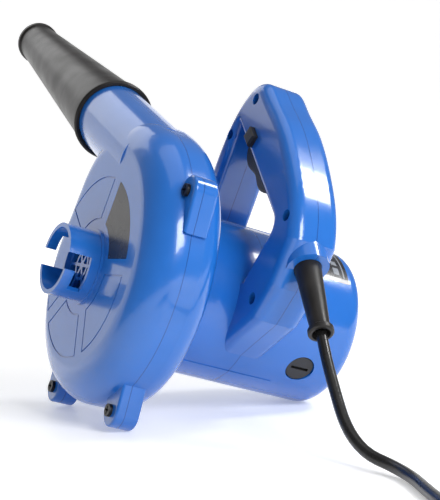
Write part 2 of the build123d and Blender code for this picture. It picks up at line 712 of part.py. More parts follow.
with BuildPart() as brushes:
    for side in (1, -1):
        with BuildSketch(brush_plane(side, COMMUTATOR_R + 1)):
            Rectangle(*BRUSH_SIZE[:2])
        extrude(amount=BRUSH_SIZE[2] - 1)
        with BuildSketch(brush_plane(side, 0)):
            Rectangle(*BRUSH_SIZE[:2])
        extrude(amount=COMMUTATOR_R + 1)
    with BuildSketch(Plane.YZ.offset(BRUSH_X - 20)):
        Circle(COMMUTATOR_R + 2 * FIT)
    extrude(amount=40, mode=Mode.SUBTRACT)


def spring(base: Plane, radius: float, wire: float, length: float, turns: float) -> Part:
    """A plain compression spring standing on a plane."""
    with BuildPart(mode=Mode.PRIVATE) as coil:
        with BuildLine(Plane.XY.offset(wire)):
            line = Helix(pitch=(length - 2 * wire) / turns, height=length - 2 * wire, radius=radius)
        with BuildSketch(Plane(origin=line @ 0, z_dir=line % 0)):
            Circle(wire / 2)
        sweep(is_frenet=True)
    return coil.part.moved(base.location)


with BuildPart() as brush_springs:
    for side in (1, -1):
        out = COMMUTATOR_R + BRUSH_SIZE[2]
        add(spring(brush_plane(side, out), 2.2, 0.7, BRUSH_CAP_SEAT - out, 5))

with BuildPart() as brush_caps:
    for side in (1, -1):
        with BuildSketch(brush_plane(side, BRUSH_CAP_SEAT)):
            Circle(BRUSH_CAP_R)
        extrude(amount=MOTOR_R - BRUSH_CAP_SEAT - 0.9)
        with BuildSketch(brush_plane(side, MOTOR_R - 0.9 - 1.6)):
            Rectangle(11.5, 1.9)
        extrude(amount=4, mode=Mode.SUBTRACT)
    tops = brush_caps.edges().filter_by(GeomType.CIRCLE)
    chamfer([e for e in tops if hypot(e.center().Y, e.center().Z) > MOTOR_R - 2 and e.radius > 8], 0.5)

# ---------------------------------------------------------------- switch gear
with BuildPart() as switch_body:
    with BuildSketch(grip_plane(CAVITY_X[1])):
        with Locations((14, 21.5)):
            Rectangle(34, 11)
    extrude(amount=CAVITY_X[1] - CAVITY_X[0])

with BuildPart() as trigger:
    with BuildSketch(grip_plane(SPLIT_X + TRIGGER_W / 2)):
        with BuildLine():
            pad = Spline((TRIGGER_U[0], -4), (-9, -10.5), (1, -12), (12, -9.4), (22, -10.8), (32, -6.5),
                         (TRIGGER_U[1], -2))
            Polyline(pad @ 1, (TRIGGER_U[1], 6), (TRIGGER_U[0], 6), pad @ 0)
        make_face()
    extrude(amount=TRIGGER_W)
    sides = trigger.faces().filter_by(Axis.X).edges().filter_by(GeomType.BSPLINE)
    fillet(sides, 1.8)
    with BuildSketch(grip_plane(SPLIT_X + 11)):
        with Locations((23.5, 4.1)):
            Rectangle(35, 2)
    extrude(amount=22)
    with BuildSketch(grip_plane(SPLIT_X + 11)):
        with Locations(((TRIGGER_U[0] - 1.4 + 6.0) / 2, 4.1)):
            Rectangle(6.0 - TRIGGER_U[0] + 1.4, 2)
    extrude(amount=11 + TRIGGER_W / 2)

with BuildPart() as trigger_spring:
    seat = Plane(origin=grip_plane(SPLIT_X).from_local_coords((12, 6, 0)), x_dir=(1, 0, 0), z_dir=grip_in)
    add(spring(seat, 3.0, 0.8, 10, 4))

with BuildPart() as lock_button:
    with BuildSketch(grip_plane(CAVITY_X[0] + 0.1)):
        with Locations(LOCK_AT):
            Rectangle(*LOCK_SIZE)
    extrude(amount=CAVITY_X[0] + 0.1 - HANDLE_X[0] + LOCK_OUT)
    fillet(lock_button.faces().sort_by(Axis.X)[0].edges(), 1.2)
    with BuildSketch(grip_plane(CAVITY_X[0] + 1.3)):
        with Locations((LOCK_AT[0], LOCK_AT[1])):
            Rectangle(LOCK_SIZE[0] + 4, 6.6)
    extrude(amount=1.2)

with BuildPart() as capacitor:
    with BuildSketch(grip_plane(CAVITY_X[1])):
        with Locations((50, 13)):
            Rectangle(12, 12)
    extrude(amount=CAVITY_X[1] - CAVITY_X[0])

# ---------------------------------------------------------------- lead entry
with BuildPart() as cord_guard:
    with BuildSketch(Plane(origin=exit_at, x_dir=exit_dir, z_dir=(1, 0, 0))):
        with BuildLine():
            Polyline((-6, CORD_D / 2 + 0.06), (-6, 8.7), (-3.3, 8.7), (-3.3, GUARD_R), (0, GUARD_R),
                     (GUARD_LEN - 4.5, GUARD_END_R), (GUARD_LEN - 3.2, GUARD_RING_R),
                     (GUARD_LEN - 0.8, GUARD_RING_R), (GUARD_LEN, GUARD_RING_R - 0.8),
                     (GUARD_LEN, GUARD_END_R - 0.4), (GUARD_LEN - 6, CORD_D / 2 + 0.06), close=True)
        make_face()
    revolve(axis=Axis(exit_at, exit_dir))

with BuildPart() as cord_clamp:
    with BuildSketch(exit_plane(-14)):
        Circle(8.9)
        Circle(CORD_D / 2 - 0.05, mode=Mode.SUBTRACT)
    extrude(amount=6)

# ---------------------------------------------------------------- screws and label
with BuildPart() as handle_screws:
    for y, z in HANDLE_SCREWS:
        head = HANDLE_X[0] + HEAD_SEAT
        with BuildSketch(Plane.YZ.offset(head)):
            with Locations((y, z)):
                Circle(HEAD_R)
        extrude(amount=-2.4)
        with BuildSketch(Plane.YZ.offset(head)):
            with Locations((y, z)):
                Circle(1.5)
        extrude(amount=SPLIT_X + 11 - head)
        with BuildSketch(Plane.YZ.offset(head - 1.2)):
            with Locations((y, z)):
                Rectangle(4.4, 1.0)
                Rectangle(1.0, 4.4)
        extrude(amount=-2, mode=Mode.SUBTRACT)

with BuildPart() as lug_screws:
    for y, z in LUGS:
        with BuildSketch(Plane.YZ.offset(LUG_X[0])):
            with Locations((y, z)):
                Circle(HEAD_R + 0.4)
        extrude(amount=-2.0)
        with BuildSketch(Plane.YZ.offset(LUG_X[0])):
            with Locations((y, z)):
                Circle(1.5)
        extrude(amount=SEAM_X + 6 - LUG_X[0])
        with BuildSketch(Plane.YZ.offset(LUG_X[0] - 1.0)):
            with Locations((y, z)):
                Rectangle(4.6, 1.1)
                Rectangle(1.1, 4.6)
        extrude(amount=-2, mode=Mode.SUBTRACT)

with BuildPart() as rating_label:
    with BuildSketch(Plane.YZ.offset(LABEL_X[0])):
        with BuildLine():
            for r in (MOTOR_R, MOTOR_R + 0.3):
                CenterArc((0, 0), r, 90 + LABEL_TURN[0], LABEL_TURN[1] - LABEL_TURN[0])
            for a in LABEL_TURN:
                Line(Vector(MOTOR_R, 0).rotate(Axis.Z, 90 + a),
                     Vector(MOTOR_R + 0.3, 0).rotate(Axis.Z, 90 + a))
        make_face()
    extrude(amount=LABEL_X[1] - LABEL_X[0])

# ---------------------------------------------------------------- stand it up
machine = dict(front_cover=front_cover, middle_housing=middle_housing, rear_housing=rear_housing,
               sector_panel=sector_panel, intake_grille=intake_grille, nozzle=nozzle, shaft=shaft,
               impeller=impeller, impeller_nut=impeller_nut, armature_core=armature_core,
               armature_windings=armature_windings, commutator=commutator, stator_core=stator_core,
               field_coils=field_coils, stator_screws=stator_screws, front_bearing=front_bearing,
               rear_bearing=rear_bearing, bearing_cushion=bearing_cushion,
               brush_holders=brush_holders, brushes=brushes, brush_springs=brush_springs,
               brush_caps=brush_caps, switch_body=switch_body, trigger=trigger,
               trigger_spring=trigger_spring, lock_button=lock_button, capacitor=capacitor,
               cord_guard=cord_guard, cord_clamp=cord_clamp,
               handle_screws=handle_screws, lug_screws=lug_screws, rating_label=rating_label)
tip = Location((0, 0, -FLOOR), (0, TILT * 180 / pi, 0))
outer = [machine[name].part.moved(tip).bounding_box()
         for name in ("front_cover", "middle_housing", "rear_housing", "nozzle")]
low = [min(getattr(box.min, axis) for box in outer) for axis in "XY"]
high = [max(getattr(box.max, axis) for box in outer) for axis in "XY"]
STAND = Location((-(low[0] + high[0]) / 2, -(low[1] + high[1]) / 2, -FLOOR), (0, TILT * 180 / pi, 0))
print("footprint", low, high, "stand", STAND)


# ---------------------------------------------------------------- the lead, drawn as it lies
def laid_lead(points: list) -> Part:
    """A round lead along a route of straight runs, each corner an arc as large as they allow."""
    stops = [Vector(*p) for p in points]
    radii = []
    for a, b, c in zip(stops, stops[1:], stops[2:]):
        turn = (b - a).get_angle(c - b)
        radii.append(0.45 * min((b - a).length, (c - b).length) / tan(radians(turn / 2)))
    print("lead radii", [round(r) for r in radii])
    with BuildPart(mode=Mode.PRIVATE) as tube:
        with BuildLine():
            path = FilletPolyline(*stops, radius=radii)
        with BuildSketch(Plane(origin=path @ 0, z_dir=path % 0)):
            Circle(CORD_D / 2)
        sweep()
    ideal = pi * CORD_D ** 2 / 4 * path.length
    print(f"lead length {path.length:.1f}, volume {tube.part.volume:.0f} of {ideal:.0f}")
    return tube.part


coil_plane = Plane(origin=(*COIL_AT, 1.5 * CORD_D + TIE_T))
with BuildPart() as cord_coil:
    with BuildSketch(Plane(origin=coil_plane.origin, x_dir=(1, 0, 0), z_dir=(0, -1, 0))):
        with Locations((COIL_R, 0)):
            Circle(1.5 * CORD_D)
    revolve(axis=Axis(coil_plane.origin, (0, 0, 1)))
print(f"coil of {COIL_TURNS} turns, {COIL_TURNS * 2 * pi * COIL_R:.0f} of lead")

with BuildPart() as cord_tie:
    with BuildSketch(Plane(origin=coil_plane.origin, x_dir=(0, -1, 0), z_dir=(1, 0, 0))):
        with Locations((COIL_R, 0)):
            Circle(1.5 * CORD_D + TIE_T)
            Circle(1.5 * CORD_D + 0.5, mode=Mode.SUBTRACT)
    extrude(amount=TIE_W / 2, both=True)

with BuildPart() as cord:
    add(laid_lead(ROUTE))
    add(cord_coil.part, mode=Mode.SUBTRACT)

with BuildPart() as cord_tail:
    add(laid_lead(TAIL_ROUTE))
    add(cord_coil.part, mode=Mode.SUBTRACT)

plug_way = Vector(cos(radians(PLUG_TURN)), sin(radians(PLUG_TURN)), 0)
plug_plane = Plane(origin=(*PLUG_AT, PLUG_SIZE[2] / 2), x_dir=(0, 0, 1), z_dir=plug_way)
with BuildPart() as plug_body:
    with BuildSketch(plug_plane):
        RectangleRounded(9.0, 10.0, 3.0)
    with BuildSketch(plug_plane.offset(12)):
        RectangleRounded(PLUG_SIZE[2], PLUG_SIZE[1], 4.0)
    loft()
    with BuildSketch(plug_plane.offset(12)):
        RectangleRounded(PLUG_SIZE[2], PLUG_SIZE[1] + 6, 4.5)
    extrude(amount=PLUG_SIZE[0] - 12)
    fillet(plug_body.faces().sort_by(Axis(plug_plane.origin, plug_way))[-1].edges(), 1.2)

with BuildPart() as plug_pins:
    with BuildSketch(plug_plane.offset(PLUG_SIZE[0])):
        with Locations((0, PIN_SPREAD), (0, -PIN_SPREAD)):
            Circle(2.0)
    extrude(amount=19)
    fillet(plug_pins.edges().filter_by(GeomType.CIRCLE).sort_by(Axis(plug_plane.origin, plug_way))[-2:],
           1.2)

# ---------------------------------------------------------------- write every piece out
pieces = {name: builder.part.moved(STAND) for name, builder in machine.items()}
pieces.update(cord=cord.part, cord_coil=cord_coil.part, cord_tie=cord_tie.part,
              cord_tail=cord_tail.part, plug_body=plug_body.part, plug_pins=plug_pins.part)
for name, piece in pieces.items():
    piece.label = name
    export_step(piece, f"parts/{name}.step")
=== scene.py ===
"""Looks of a hand-held air blower: finishes, mains lead, plug, label, studio and camera.

Every place is in metres, in the frame the machine stands in.  The machine itself is tipped, so
pieces that belong to it are drawn on its motor axis and then stood with the stand transform.
"""
from __future__ import annotations

import logging
import math
from dataclasses import dataclass, field
from enum import Enum
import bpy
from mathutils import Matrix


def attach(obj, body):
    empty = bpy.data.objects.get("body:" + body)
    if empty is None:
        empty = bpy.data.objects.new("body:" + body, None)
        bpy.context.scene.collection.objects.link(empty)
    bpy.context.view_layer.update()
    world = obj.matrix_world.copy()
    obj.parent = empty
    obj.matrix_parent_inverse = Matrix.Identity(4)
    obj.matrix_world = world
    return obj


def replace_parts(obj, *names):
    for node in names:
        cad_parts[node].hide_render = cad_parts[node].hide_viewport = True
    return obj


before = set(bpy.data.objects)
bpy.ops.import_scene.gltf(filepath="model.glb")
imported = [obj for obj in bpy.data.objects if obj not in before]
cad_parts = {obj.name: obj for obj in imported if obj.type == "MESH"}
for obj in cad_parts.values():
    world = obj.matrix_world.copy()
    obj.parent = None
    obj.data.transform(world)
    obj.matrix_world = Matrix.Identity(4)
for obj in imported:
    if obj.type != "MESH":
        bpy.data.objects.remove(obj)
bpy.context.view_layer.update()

import bmesh
import bpy
from mathutils import Matrix, Vector

log = logging.getLogger("air_blower")

Colour = tuple[float, float, float]
Point = tuple[float, float, float]

# the stand: motor axis to row frame, in metres
TILT = math.radians(16.1388)
DISC_CENTRE = (-0.0704551, -0.0867045, 0.0885645)
STAND = Matrix.Translation(DISC_CENTRE) @ Matrix.Rotation(TILT, 4, "Y")

SHARP = math.radians(34)  # edges that turn more than this stay sharp
MERGE = 1e-6              # corners nearer than this are one
SEAM_BLUE = (0.006, 0.060, 0.270)


class Body(str, Enum):
    """The rigid body that the pieces made here ride on."""

    HOUSING = "housing"


class Grain(str, Enum):
    """How a finish's fine relief is made."""

    MOULDED = "moulded"
    SPARK = "spark"


class Nodes:
    """A small hand for wiring one material's nodes."""

    def __init__(self, name: str) -> None:
        """Start a material with its shader and its coordinates.

        Args:
            name: the material's name.
        """
        self.material = bpy.data.materials.new(name)
        self.material.use_nodes = True
        self.tree = self.material.node_tree
        self.shader = self.tree.nodes["Principled BSDF"]
        self.place = self.add("ShaderNodeTexCoord")
        self.object = self.place.outputs["Object"]

    def add(self, kind: str, **values: object) -> bpy.types.Node:
        """Add a node.

        Args:
            kind: the node's type.
            values: properties by name, or inputs where the name starts with ``in_``.

        Returns:
            The new node.
        """
        node = self.tree.nodes.new(kind)
        for key, value in values.items():
            if key.startswith("in_"):
                node.inputs[key[3:].replace("_", " ")].default_value = value
            else:
                setattr(node, key, value)
        return node

    def link(self, output: bpy.types.NodeSocket, socket: bpy.types.NodeSocket) -> None:
        """Join an output to an input socket."""
        self.tree.links.new(output, socket)

    def math(self, how: str, a: object, b: object = 0.0, c: object = 0.0) -> bpy.types.NodeSocket:
        """Work out one number.

        Args:
            how: the Math node's operation.
            a: a socket or a number.
            b: a socket or a number.
            c: a socket or a number.

        Returns:
            The result's socket.
        """
        node = self.add("ShaderNodeMath", operation=how)
        for socket, value in zip(node.inputs, (a, b, c)):
            if isinstance(value, bpy.types.NodeSocket):
                self.link(value, socket)
            else:
                socket.default_value = float(value)
        return node.outputs[0]

    def noise(self, scale: float, detail: float = 4.0, stretch: Point = (1, 1, 1),
              turned: bool = False) -> bpy.types.NodeSocket:
        """Fine random pattern on the piece.

        Args:
            scale: cells in a metre.
            detail: octaves.
            stretch: scale along each axis.
            turned: whether the axes are those of the tipped machine.

        Returns:
            The pattern's number.
        """
        mapping = self.add("ShaderNodeMapping")
        mapping.inputs["Scale"].default_value = stretch
        if turned:
            mapping.inputs["Rotation"].default_value = (0, -TILT, 0)
        self.link(self.object, mapping.inputs["Vector"])
        node = self.add("ShaderNodeTexNoise", in_Scale=scale, in_Detail=detail)
        self.link(mapping.outputs["Vector"], node.inputs["Vector"])
        return node.outputs["Fac"]

    def blend(self, factor: bpy.types.NodeSocket, a: object, b: object) -> bpy.types.NodeSocket:
        """Mix two colours.

        Args:
            factor: where the second one shows.
            a: a colour or a socket.
            b: a colour or a socket.

        Returns:
            The mixed colour.
        """
        node = self.add("ShaderNodeMix", data_type="RGBA")
        self.link(factor, node.inputs["Factor"])
        for socket, value in ((node.inputs[6], a), (node.inputs[7], b)):
            if isinstance(value, bpy.types.NodeSocket):
                self.link(value, socket)
            else:
                socket.default_value = (*value, 1.0)
        return node.outputs[2]

    def spread(self, value: bpy.types.NodeSocket, low: float, high: float,
               to_low: float, to_high: float) -> bpy.types.NodeSocket:
        """Map a number's range onto another, held at both ends."""
        node = self.add("ShaderNodeMapRange")
        self.link(value, node.inputs["Value"])
        for name, number in (("From Min", low), ("From Max", high), ("To Min", to_low),
                             ("To Max", to_high)):
            node.inputs[name].default_value = number
        return node.outputs["Result"]

    def bump(self, height: bpy.types.NodeSocket, strength: float, distance: float) -> None:
        """Raise the surface by a height pattern."""
        node = self.add("ShaderNodeBump", in_Strength=strength, in_Distance=distance)
        self.link(height, node.inputs["Height"])
        self.link(node.outputs["Normal"], self.shader.inputs["Normal"])

    def paint(self, colour: bpy.types.NodeSocket) -> None:
        """Send a colour to the shader."""
        self.link(colour, self.shader.inputs["Base Color"])

    def axial(self) -> bpy.types.NodeSocket:
        """How far along the motor axis a point is, from the intake disc."""
        dot = self.add("ShaderNodeVectorMath", operation="DOT_PRODUCT")
        self.link(self.object, dot.inputs[0])
        dot.inputs[1].default_value = (math.cos(TILT), 0.0, -math.sin(TILT))
        start = DISC_CENTRE[2] * math.sin(TILT) - DISC_CENTRE[0] * math.cos(TILT)
        return self.math("ADD", dot.outputs["Value"], start)


# ---------------------------------------------------------------- finishes
@dataclass(frozen=True)
class Plastic:
    """A moulded plastic: slight cloudiness of colour, uneven gloss and mould grain."""

    name: str
    colour: Colour
    cloud: Colour
    roughness: float = 0.3
    uneven: float = 0.06
    grain: float = 0.05
    grain_scale: float = 900.0
    coat: float = 0.0
    specular: float = 0.5
    kind: Grain = Grain.MOULDED

    def make(self) -> bpy.types.Material:
        """Make the material."""
        return self.wire().material

    def wire(self) -> Nodes:
        """Wire the nodes that every plastic has.

        Returns:
            The material's nodes, for a finish that adds to them.
        """
        n = Nodes(self.name)
        n.shader.inputs["Coat Weight"].default_value = self.coat
        n.shader.inputs["Coat Roughness"].default_value = 0.06
        n.shader.inputs["Specular IOR Level"].default_value = self.specular
        clouds = n.spread(n.noise(22.0, 3.0), 0.35, 0.65, 0.0, 1.0)
        n.paint(n.blend(clouds, self.colour, self.cloud))
        streaks = n.noise(60.0, 5.0)
        n.link(n.spread(streaks, 0.3, 0.7, self.roughness - self.uneven,
                        self.roughness + self.uneven), n.shader.inputs["Roughness"])
        if self.kind is Grain.SPARK:
            height = n.noise(self.grain_scale, 2.0)
        else:
            height = n.noise(self.grain_scale * 0.25, 6.0)
        n.bump(height, self.grain, 0.0004)
        return n


@dataclass(frozen=True)
class ShellPlastic(Plastic):
    """The gloss shell, with the fine dark line where two mouldings meet."""

    seams: tuple[float, ...] = (0.022, 0.091)
    seam_width: float = 0.00022

    def make(self) -> bpy.types.Material:
        """Make the material, with its parting lines."""
        n = self.wire()
        along = n.axial()
        line: object = 0.0
        for seam in self.seams:
            off = n.math("ABSOLUTE", n.math("SUBTRACT", along, seam))
            line = n.math("MAXIMUM", line, n.spread(off, self.seam_width * 0.5,
                                                    self.seam_width * 1.3, 1.0, 0.0))
        base = n.shader.inputs["Base Color"].links[0].from_socket
        n.paint(n.blend(line, base, SEAM_BLUE))
        bump = n.shader.inputs["Normal"].links[0].from_node
        groove = n.add("ShaderNodeBump", invert=True, in_Strength=0.6, in_Distance=0.0003)
        n.link(line, groove.inputs["Height"])
        n.link(bump.outputs["Normal"], groove.inputs["Normal"])
        n.link(groove.outputs["Normal"], n.shader.inputs["Normal"])
        return n.material


@dataclass(frozen=True)
class Metal:
    """A bare or plated metal with tool marks along or round the motor axis."""

    name: str
    colour: Colour
    dull: Colour
    roughness: float = 0.35
    marks: float = 2400.0
    layers: bool = False

    def make(self) -> bpy.types.Material:
        """Make the material."""
        n = Nodes(self.name)
        n.shader.inputs["Metallic"].default_value = 1.0
        stain = n.spread(n.noise(45.0, 4.0), 0.35, 0.7, 0.0, 1.0)
        n.paint(n.blend(stain, self.colour, self.dull))
        scratch = n.noise(self.marks, 2.0, (1.0, 0.15, 0.15), turned=True)
        n.link(n.spread(scratch, 0.3, 0.7, self.roughness - 0.08, self.roughness + 0.1),
               n.shader.inputs["Roughness"])
        height = scratch
        if self.layers:
            height = n.math("PINGPONG", n.axial(), 0.00035)
            height = n.math("MULTIPLY", height, 2800.0)
        n.bump(height, 0.25, 0.0002)
        return n.material


@dataclass(frozen=True)
class WoundWire:
    """Enamelled wire laid turn beside turn."""

    name: str
    colour: Colour
    gap: Colour
    pitch: float = 0.0008

    def make(self) -> bpy.types.Material:
        """Make the material."""
        n = Nodes(self.name)
        n.shader.inputs["Coat Weight"].default_value = 0.5
        n.shader.inputs["Metallic"].default_value = 0.6
        wave = n.add("ShaderNodeTexWave", in_Scale=1.0 / self.pitch / 6.283, in_Distortion=1.6,
                     in_Detail=2.0)
        n.link(n.object, wave.inputs["Vector"])
        n.paint(n.blend(wave.outputs["Fac"], self.gap, self.colour))
        n.link(n.spread(n.noise(300.0), 0.3, 0.7, 0.25, 0.45), n.shader.inputs["Roughness"])
        n.bump(wave.outputs["Fac"], 0.5, 0.0003)
        return n.material


@dataclass(frozen=True)
class Rubber:
    """A soft black moulding with a fine matt skin."""

    name: str
    colour: Colour
    worn: Colour
    roughness: float = 0.5
    skin: float = 1500.0

    def make(self) -> bpy.types.Material:
        """Make the material."""
        n = Nodes(self.name)
        n.shader.inputs["Sheen Weight"].default_value = 0.02
        n.shader.inputs["Specular IOR Level"].default_value = 0.38
        worn = n.spread(n.noise(70.0, 6.0), 0.45, 0.75, 0.0, 1.0)
        n.paint(n.blend(worn, self.colour, self.worn))
        n.link(n.spread(n.noise(40.0), 0.3, 0.7, self.roughness - 0.08, self.roughness + 0.08),
               n.shader.inputs["Roughness"])
        n.bump(n.noise(self.skin, 3.0), 0.12, 0.0003)
        return n.material


@dataclass(frozen=True)
class PrintedPlate:
    """A dark foil with pale rules and panels, and no lettering."""

    name: str
    ground: Colour = (0.012, 0.013, 0.018)
    print_colour: Colour = (0.26, 0.28, 0.31)

    def make(self) -> bpy.types.Material:
        """Make the material from the plate's own map: u round the motor, v along it."""
        n = Nodes(self.name)
        n.shader.inputs["Coat Weight"].default_value = 0.4
        split = n.add("ShaderNodeSeparateXYZ")
        n.link(n.place.outputs["UV"], split.inputs[0])
        u, v = split.outputs["X"], split.outputs["Y"]
        marks: object = 0.0
        rules = ((0.10, 0.90, 0.86, 0.90), (0.10, 0.90, 0.10, 0.125), (0.10, 0.46, 0.70, 0.76),
                 (0.10, 0.40, 0.60, 0.635), (0.10, 0.44, 0.50, 0.535), (0.10, 0.36, 0.40, 0.435),
                 (0.10, 0.42, 0.30, 0.335), (0.10, 0.38, 0.20, 0.235), (0.56, 0.66, 0.60, 0.76),
                 (0.72, 0.86, 0.60, 0.76), (0.56, 0.86, 0.36, 0.40), (0.56, 0.80, 0.27, 0.305))
        for u0, u1, v0, v1 in rules:
            inside = n.math("MULTIPLY", n.math("COMPARE", u, (u0 + u1) / 2, (u1 - u0) / 2),
                            n.math("COMPARE", v, (v0 + v1) / 2, (v1 - v0) / 2))
            marks = n.math("MAXIMUM", marks, inside)
        worn = n.spread(n.noise(500.0, 3.0), 0.3, 0.6, 0.75, 1.0)
        n.paint(n.blend(n.math("MULTIPLY", marks, worn), self.ground, self.print_colour))
        n.link(n.spread(n.noise(120.0), 0.3, 0.7, 0.22, 0.34), n.shader.inputs["Roughness"])
        n.bump(marks, 0.15, 0.0001)
        return n.material


BLUE = ShellPlastic("blue_gloss_shell", (0.014, 0.142, 0.530), (0.010, 0.128, 0.490), roughness=0.22,
                    uneven=0.04, grain=0.03, coat=0.55)
SATIN_BLACK = Plastic("nozzle_satin_black", (0.010, 0.009, 0.009), (0.016, 0.014, 0.013),
                      roughness=0.34, grain=0.08, grain_scale=2600.0, specular=0.26,
                      kind=Grain.SPARK)
BUTTON_BLACK = Plastic("button_black", (0.010, 0.010, 0.011), (0.016, 0.016, 0.017), roughness=0.42,
                       grain=0.14, grain_scale=3000.0, kind=Grain.SPARK)
CAP_BLACK = Plastic("cap_black", (0.006, 0.006, 0.007), (0.012, 0.012, 0.013), roughness=0.34,
                    grain=0.08, grain_scale=1800.0)
SMOKED = Plastic("smoked_insert", (0.018, 0.018, 0.021), (0.026, 0.025, 0.028), roughness=0.26,
                 uneven=0.05, grain=0.04, coat=0.1, specular=0.35)
FAN_WHITE = Plastic("fan_white", (0.70, 0.70, 0.66), (0.62, 0.62, 0.57), roughness=0.4, grain=0.06)
CARBON = Plastic("pressed_carbon", (0.018, 0.018, 0.018), (0.035, 0.034, 0.033), roughness=0.55,
                 grain=0.3, grain_scale=4000.0, kind=Grain.SPARK)
FILM_BOX = Plastic("capacitor_box", (0.50, 0.36, 0.05), (0.42, 0.30, 0.04), roughness=0.35)
LEAD_BLACK = Rubber("lead_black", (0.006, 0.006, 0.006), (0.012, 0.012, 0.012), roughness=0.25,
                    skin=2200.0)
GUARD_BLACK = Rubber("guard_rubber", (0.009, 0.008, 0.008), (0.020, 0.018, 0.016), roughness=0.42)
CUSHION_BLACK = Rubber("cushion_rubber", (0.012, 0.012, 0.012), (0.02, 0.02, 0.02), roughness=0.6)
STEEL = Metal("ground_steel", (0.56, 0.56, 0.57), (0.42, 0.42, 0.43), roughness=0.28)
DARK_STEEL = Metal("blackened_screw", (0.030, 0.030, 0.032), (0.060, 0.058, 0.056), roughness=0.38)
CORE_STEEL = Metal("core_laminations", (0.30, 0.30, 0.31), (0.20, 0.19, 0.19), roughness=0.42,
                   layers=True)
BRASS = Metal("stamped_brass", (0.72, 0.52, 0.22), (0.55, 0.38, 0.16), roughness=0.3)
COPPER = Metal("copper_bars", (0.80, 0.40, 0.22), (0.55, 0.26, 0.15), roughness=0.26)
NICKEL = Metal("nickel_plate", (0.72, 0.71, 0.68), (0.60, 0.59, 0.57), roughness=0.18)
WIRE = WoundWire("enamelled_wire", (0.50, 0.17, 0.06), (0.12, 0.035, 0.015))
PLATE = PrintedPlate("printed_plate")

_made: dict[str, bpy.types.Material] = {}


def material_of(finish: object) -> bpy.types.Material:
    """The finish's material, made once.

    Args:
        finish: one of the finishes above.

    Returns:
        Its material.
    """
    if finish.name not in _made:
        _made[finish.name] = finish.make()
    return _made[finish.name]


def dress(finish: object, *nodes: str) -> None:
    """Give carried-over pieces their finish.

    Args:
        finish: the finish.
        nodes: the pieces' names.
    """
    for name in nodes:
        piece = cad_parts[name]
        piece.data.materials.clear()
        piece.data.materials.append(material_of(finish))
        log.info("dressed %s in %s", name, finish.name)


def piece_from(bm: bmesh.types.BMesh, name: str, body: Body, finish: object,
               placed: Matrix) -> bpy.types.Object:
    """Turn a worked mesh into a piece that rides on a body.

    Args:
        bm: the mesh, which is freed.
        name: the piece's name.
        body: what it rides on.
        finish: its finish.
        placed: a transform into the row frame, baked into the mesh.

    Returns:
        The piece.
    """
    bmesh.ops.remove_doubles(bm, verts=bm.verts, dist=MERGE)
    bmesh.ops.transform(bm, matrix=placed, verts=bm.verts)
    bmesh.ops.recalc_face_normals(bm, faces=bm.faces)
    for face in bm.faces:
        face.smooth = True
    for edge in bm.edges:
        if len(edge.link_faces) == 2:
            edge.smooth = edge.calc_face_angle(0.0) < SHARP
    mesh = bpy.data.meshes.new(name)
    bm.to_mesh(mesh)
    bm.free()
    piece = bpy.data.objects.new(name, mesh)
    bpy.context.scene.collection.objects.link(piece)
    mesh.materials.append(material_of(finish))
    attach(piece, body.value)
    log.info("built %s, %d faces", name, len(mesh.polygons))
    return piece


def spun(outline: list[tuple[float, float]], steps: int) -> bmesh.types.BMesh:
    """Spin a closed outline into a ring about the X axis.

    Args:
        outline: corners as (along x, radius).
        steps: how many stretches the turn has.

    Returns:
        The ring's mesh.
    """
    bm = bmesh.new()
    corners = [bm.verts.new((x, r, 0.0)) for x, r in outline]
    edges = [bm.edges.new((a, b)) for a, b in zip(corners, corners[1:] + corners[:1])]
    bmesh.ops.spin(bm, geom=corners + edges, axis=(1, 0, 0), cent=(0, 0, 0), angle=math.tau,
                   steps=steps, use_merge=True)
    return bm


# ---------------------------------------------------------------- the machine
@dataclass
class Machine:
    """The carried-over pieces of the blower, each with its finish."""

    shells: tuple[str, ...] = ("front_cover", "middle_housing", "rear_housing", "intake_grille")
    rotor: dict[str, object] = field(default_factory=lambda: {
        "shaft": STEEL, "impeller": FAN_WHITE, "impeller_nut": STEEL, "armature_core": CORE_STEEL,
        "armature_windings": WIRE, "commutator": COPPER})
    motor: dict[str, object] = field(default_factory=lambda: {
        "stator_core": CORE_STEEL, "field_coils": WIRE, "stator_screws": STEEL,
        "front_bearing": STEEL, "rear_bearing": STEEL, "bearing_cushion": CUSHION_BLACK,
        "brush_holders": BRASS, "brushes": CARBON, "brush_springs": STEEL})
    controls: dict[str, object] = field(default_factory=lambda: {
        "trigger": BUTTON_BLACK, "lock_button": BUTTON_BLACK, "switch_body": BUTTON_BLACK,
        "trigger_spring": STEEL, "capacitor": FILM_BOX})
    fixings: dict[str, object] = field(default_factory=lambda: {
        "handle_screws": DARK_STEEL, "lug_screws": DARK_STEEL, "brush_caps": CAP_BLACK,
        "cord_clamp": BUTTON_BLACK, "cord_guard": GUARD_BLACK, "plug_pins": NICKEL})

    def dress_all(self) -> None:
        """Give every carried-over piece its finish."""
        dress(BLUE, *self.shells)
        dress(SATIN_BLACK, "nozzle")
        dress(SMOKED, "sector_panel")
        for group in (self.rotor, self.motor, self.controls, self.fixings):
            for name, finish in group.items():
                dress(finish, name)


